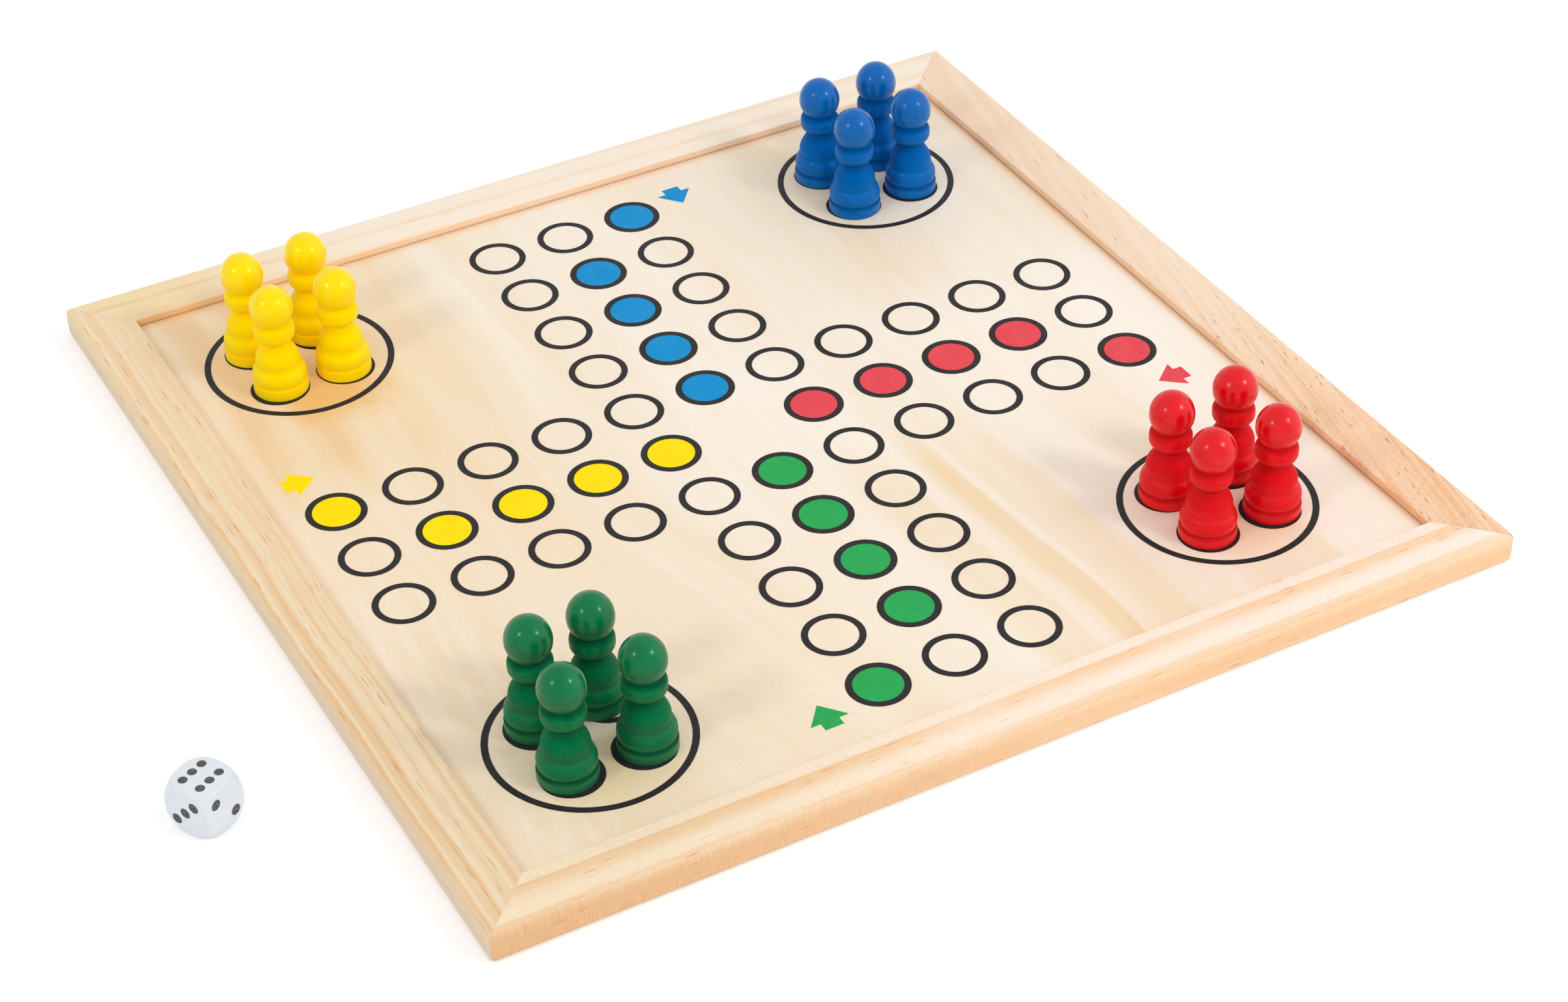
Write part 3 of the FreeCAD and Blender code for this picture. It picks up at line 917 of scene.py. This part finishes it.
def softened(points, passes):
    """Outline with its corners a little rounded, as under lacquer."""
    for _ in range(passes):
        refined = [points[0]]
        for a, b in zip(points, points[1:]):
            share = min(0.25, 0.12 / max(math.dist(a, b), 1e-6))
            for (px, py), (qx, qy) in ((a, b), (b, a)):
                refined.append((px + (qx - px) * share, py + (qy - py) * share))
        refined.append(points[-1])
        points = refined
    return points


def pawn_former():
    """Tree that turns an outline on the lathe and stands the pawn on its seat."""
    g = Former("turned_pawn", Object="Outline", Int="Sides", Float="Wobble Seed",
               Vector="Place Spin")
    outline = g.points_of("Outline")
    rows = g.geo("AttributeDomainSize", {0: outline}, "Point Count", component="MESH")
    index = g.geo("InputIndex")
    column = ((index + 0.5) / rows).math("FLOOR")
    wanted = {"Geometry": outline, "Value": g.geo("InputPosition"), "Index": index - column * rows}
    found = g.geo("SampleIndex", wanted, data_type="FLOAT_VECTOR", domain="POINT")
    reach, _, z = found.parts()
    angle = column * (2 * math.pi) / g["Sides"]
    cos, sin = angle.math("COSINE"), angle.math("SINE")
    uneven = g.noise(cos * 0.7 + g["Seed"], sin * 0.7, z * 260.0) - 0.5
    reach = reach + uneven * g["Wobble"] * reach.step(0.5 * MM, 4.0 * MM)
    shape = g.moved(g.sheet(g["Sides"], rows), Position=g.vector(reach * cos, reach * sin, z))
    shape = g.geo("SetShadeSmooth", {"Geometry": g.welded(shape)})
    g.end(g.turned(shape, Translation=g["Place"], Rotation=g["Spin"]))
    return g


def build_pawns():
    """Sixteen pawns, four of each colour, each loose on its seat."""
    paints = dict(
        green=((0, 116, 64), (0, 62, 36), (42, 102, 68), (40, 235, 210), 1.0, 0.4, 0.2),
        red=((232, 0, 16), (184, 0, 14), (228, 30, 36), (255, 235, 235), 0.7, 0.4, 0.16),
        blue=((0, 100, 184), (0, 70, 136), (4, 102, 174), (40, 205, 255), 0.5, 0.4, 0.2),
        yellow=((255, 226, 0), (255, 212, 0), (255, 220, 0), (255, 222, 0), 0.08, 0.26, 1.0))
    former = pawn_former()
    for turns, colour in enumerate(COLOURS):
        height = pawn_heights[colour]
        outline = helper("outline", [(r, 0.0, h) for r, h in softened(pawn_outline(height), 2)])
        paint = lacquer("lacquer_" + colour, height, *paints[colour])
        for number, (seat, share) in enumerate(zip(seat_places(turns), placing_shares[colour]), 1):
            x, y = on_board(seat[0] + share[0] * pawn_gap, seat[1] + share[1] * pawn_gap)
            name = "%s_%d" % (colour, number)
            pawn = former.form(
                "turned_" + name, Outline=outline, Sides=pawn_sides, Wobble=pawn_wobble * MM,
                Seed=turns * 7.3 + number * 2.9, Place=(x * MM, y * MM, pawn_foot * MM),
                Spin=(0.0, 0.0, number * 1.7 + turns), Material=paint)
            settle(pawn, "pawn_" + name, "lacquer_" + colour, "pawn_" + name)
        drop(outline)


# Die


def spot_places():
    """Outward direction, place about the die's middle and share of the usual size of each spot."""
    half = die_side / 2
    along, across, up = Vector((1, 0, 0)), Vector((0, 1, 0)), Vector((0, 0, 1))
    corners = [(spot_offset * a, spot_offset * b) for a, b in ((-1, -1), (1, 1), (-1, 1), (1, -1))]
    six = [(k * six_pitch, side * six_row_offset) for k in (-1, 0, 1) for side in (-1, 1)]
    faces = [(up, along, across, six), (-up, along, across, [(0, 0)]),
             (-along, across, up, [(0, 0)] + corners[2:]), (along, across, up, corners),
             (-across, along, up, corners[2:]), (across, along, up, [(0, 0)] + corners)]
    return [(normal, normal * half + first * a + second * b,
             few_spots_share if len(places) < 4 else 1.0)
            for normal, first, second, places in faces for a, b in places]


def die_skin(cube):
    """Move a finely divided cube out to faces, edges and a ball that run softly into each other."""
    half = die_side / 2
    for corner in cube.verts:
        way = corner.co.normalized()
        flat = half / sum(abs(part) ** die_edge_power for part in way) ** (1.0 / die_edge_power)
        both = flat ** -die_blend_power + die_ball_radius ** -die_blend_power
        corner.co = way * both ** (-1.0 / die_blend_power)


def die_plastic():
    """White plastic, faintly cool, with soft handling marks."""
    paint = Paint("die_plastic")
    x, y, z = paint.place()
    cloud = paint.noise(x / 5.0, y / 5.0, z / 5.0, 3.0, 0.6)
    fine = paint.noise(x / 0.5, y / 0.5, z / 0.5, 2.0, 0.6)
    colour = (cloud.step(0.3, 0.75) * 0.6).blend((225, 230, 236), (217, 223, 230))
    return paint.finish(colour, 0.24 + cloud * 0.12, fine * 0.5 + cloud * 0.5, 0.04, 0.2, 0.5,
                        Coat_Weight=0.2, Coat_Roughness=0.12)


def spot_paint():
    """Dark grey paint, mottled, with pale grit."""
    paint = Paint("spot_paint")
    x, y, z = paint.place()
    cloud = paint.noise(x / 0.9, y / 0.9, z / 0.9, 3.0, 0.6)
    grit = paint.noise(x / 0.26, y / 0.26, z / 0.26, 2.0, 0.6)
    colour = cloud.step(0.35, 0.75).blend((44, 42, 42), (72, 69, 65))
    colour = grit.step(0.48, 0.64).blend(colour, (132, 128, 120))
    return paint.finish(colour, 0.3 + cloud * 0.2, cloud + grit, 0.08, 0.5, 0.5)


def spot_former():
    """Tree for a thin cap of paint in each hollow, turned to its face."""
    g = Former("spot_caps", Object="Places", Float="Radius Ball Depth Segments Rings")
    curve = g["Ball"]
    reach = g["Radius"] * (0.5 - g.where()[1])
    sag = curve - g["Depth"] - (curve * curve - reach * reach).root()
    cap = g.geo("SetShadeSmooth",
                {"Geometry": g.rolled(g["Segments"], g["Rings"] + 1.0, reach, sag)})
    turn = g.node("AlignRotationToVector", {"Vector": g.named("facing", "FLOAT_VECTOR")},
                  family="FunctionNode", axis="Z")
    g.end(g.copies("Places", cap, Rotation=turn, Scale=g.named("size", "FLOAT")))
    return g


def build_die():
    """Rounded cube with a round hollow at each spot, and the paint in them."""
    seat = Matrix.Translation(die_centre) @ Matrix.Rotation(die_turn, 4, "Z")
    ball = (spot_radius ** 2 + spot_depth ** 2) / (2 * spot_depth)
    spots = spot_places()
    cube = bmesh.new()
    bmesh.ops.create_cube(cube, size=die_side)
    bmesh.ops.subdivide_edges(cube, edges=cube.edges[:], cuts=die_divisions, use_grid_fill=True)
    die_skin(cube)
    die = poured("die_body", cube)
    cutter = bmesh.new()
    for normal, place, share in spots:
        middle = place + normal * (ball - spot_depth) * share
        bmesh.ops.create_uvsphere(cutter, u_segments=32, v_segments=24, radius=ball * share,
                                  matrix=Matrix.Translation(middle))
    hollows = poured("cutter", cutter)
    step = die.modifiers.new("cut", "BOOLEAN")
    step.operation = "DIFFERENCE"
    step.solver = "EXACT"
    step.object = hollows
    soften = die.modifiers.new("soften", "BEVEL")
    soften.width = hollow_edge
    soften.segments = 2
    soften.limit_method = "ANGLE"
    soften.angle_limit = math.radians(30.0)
    mesh = as_built(die)
    die.modifiers.clear()
    die.data = mesh
    drop(hollows)
    mesh.transform(Matrix.Scale(MM, 4) @ seat)
    mesh.materials.clear()
    mesh.materials.append(die_plastic())
    smooth(mesh, 32.0)
    settle(die, "die", "die_white", "die")

    places = helper("spots", [seat @ place for _, place, _ in spots])
    notes = places.data.attributes
    facing = [part for normal, _, _ in spots for part in seat.to_3x3() @ normal]
    notes.new("facing", "FLOAT_VECTOR", "POINT").data.foreach_set("vector", facing)
    sizes = [share for _, _, share in spots]
    notes.new("size", "FLOAT", "POINT").data.foreach_set("value", sizes)
    caps = spot_former().form(
        "die_paint", Places=places, Radius=(spot_radius - paint_inset) * MM,
        Ball=(ball - paint_gap) * MM, Depth=(spot_depth - paint_gap) * MM,
        Segments=cap_sides, Rings=cap_rings, Material=spot_paint())
    settle(caps, "die", "spot_paint", "die_spots")
    drop(places)


# Stage


def seen_ray(graph):
    """1 for a ray from the lens, or one that a glossy or clear surface sends on."""
    path = graph.node("LightPath", out="Is Camera Ray")
    bounced = path.output("Is Glossy Ray").at_least(path.output("Is Transmission Ray"))
    return path.at_least(bounced)


def floor_finish():
    """Pale table top that the camera sees as white, with the object's soft shadow on it."""
    paint = Paint("floor")

    def glow(strength):
        return paint.node("Emission", {"Color": white, "Strength": strength})

    def mix(share, first, second):
        return paint.node("MixShader", {0: share, 1: first, 2: second})

    x, y, z = paint.place()
    far = (x * x + y * y).root().step(fade_start, fade_end)
    matt = paint.node("BsdfDiffuse", {"Color": floor_tone})
    near = paint.node("AddShader", {0: matt, 1: glow(floor_glow)})
    paint.sink("ShaderNodeOutputMaterial",
               mix(seen_ray(paint), matt, mix(far, near, glow(1.0))))
    return paint.material


def soft_box(name, direction, size, power):
    """Round studio lamp that faces the board."""
    lamp = bpy.data.lights.new(name, "AREA")
    lamp.shape = "DISK"
    lamp.size = size
    lamp.energy = power
    made = mesh_object(name, lamp)
    away = Vector(direction).normalized()
    made.location = away * lamp_distance
    made.rotation_euler = away.to_track_quat("Z", "Y").to_euler()


def set_stage():
    """Floor, white surroundings, three round lamps and the camera."""
    corners = [(side_x * floor_reach, side_y * floor_reach, -floor_drop)
               for side_x, side_y in ((-1, -1), (1, -1), (1, 1), (-1, 1))]
    floor = helper("floor", corners, [range(4)])
    floor.data.materials.append(floor_finish())

    world = bpy.data.worlds.new("studio")
    scene.world = world
    world.use_nodes = True
    graph = Graph(world.node_tree)
    graph.tree.nodes.clear()
    strength = seen_ray(graph).between(world_light, 1.0)
    graph.sink("ShaderNodeOutputWorld",
               graph.node("Background", {"Color": white, "Strength": strength}))

    soft_box("lamp_left", (-0.759, -0.175, 0.626), 0.27, 2.6)
    soft_box("lamp_right", (0.440, -0.628, 0.640), 0.28, 3.8)
    soft_box("lamp_side", (0.78, -0.42, 0.46), 1.8, 3.8)

    lens = bpy.data.cameras.new("camera")
    lens.lens = camera_lens
    lens.sensor_width = sensor_width
    lens.sensor_fit = "HORIZONTAL"
    camera = mesh_object("camera", lens)
    right, down = Vector(camera_right), Vector(camera_down)
    turn = Matrix((right, -down, right.cross(-down))).transposed()
    camera.matrix_world = Matrix.Translation(camera_place) @ turn.to_4x4()
    scene.camera = camera
    scene.view_settings.view_transform = "Standard"


build_rails()
dress_panel()
build_print()
build_pawns()
build_die()
set_stage()
